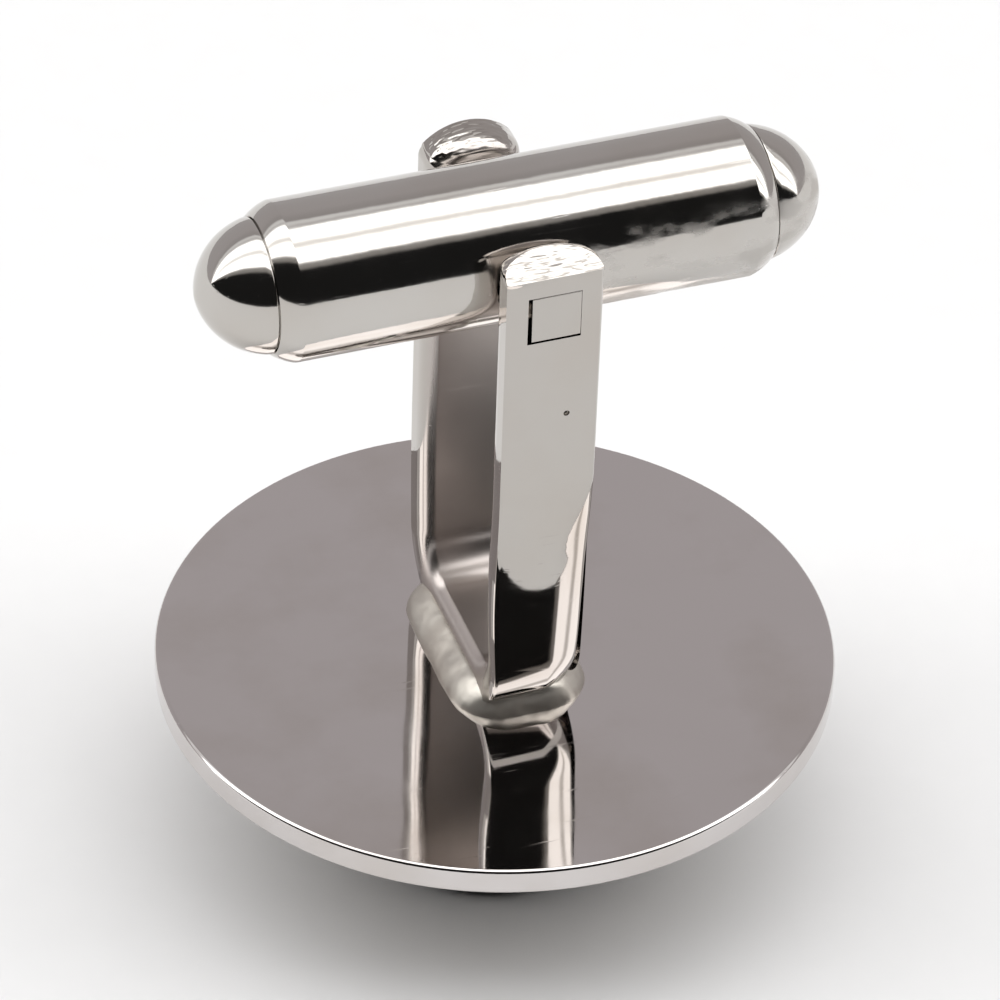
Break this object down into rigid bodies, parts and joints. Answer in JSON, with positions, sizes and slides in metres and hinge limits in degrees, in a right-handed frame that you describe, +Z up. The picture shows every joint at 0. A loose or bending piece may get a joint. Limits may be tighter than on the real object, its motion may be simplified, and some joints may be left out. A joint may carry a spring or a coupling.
{
  "type": "cufflink",
  "caption": "Swivel-bar cufflink: round back plate over a flared stone setting, with a U-strap post that carries a bullet-nosed toggle turning on a square pin.",
  "frame": {"origin": "centre of the stone's flat face, on which the cufflink stands", "axes": "+Z up along the post from the stone to the toggle, X along the toggle locked across the post, Y along the pivot pin"},
  "size_m": [0.019, 0.019, 0.0222],
  "materials": {
    "plated_plate": "polished white-metal plate over brass",
    "plated_front": "polished white-metal plate over brass",
    "plated_strap": "polished white-metal plate, finely scuffed",
    "plated_toggle": "polished white-metal plate over brass",
    "solder": "plated solder, lightly pitted",
    "black_stone": "polished black",
    "cement": "set cement",
    "spring_steel": "blued spring steel"
  },
  "bodies": {
    "post": {"back_plate": "plated_plate", "flared_skirt": "plated_front", "stone_cup": "plated_front", "stone": "black_stone", "stone_cement": "cement", "post_strap": "plated_strap", "post_solder": "solder", "pivot_pin": "plated_strap"},
    "toggle": {"toggle_barrel": "plated_toggle", "nose_plug_left": "plated_toggle", "nose_plug_right": "plated_toggle", "leaf_spring_upper": "spring_steel", "leaf_spring_lower": "spring_steel"}
  },
  "joints": [
    {"name": "toggle_swivel", "type": "hinge", "parent": "post", "child": "toggle", "pos_m": [0, 0, 0.02], "axis": [0, 1, 0], "continuous": true, "deforming": ["leaf_spring_upper", "leaf_spring_lower"]}
  ]
}
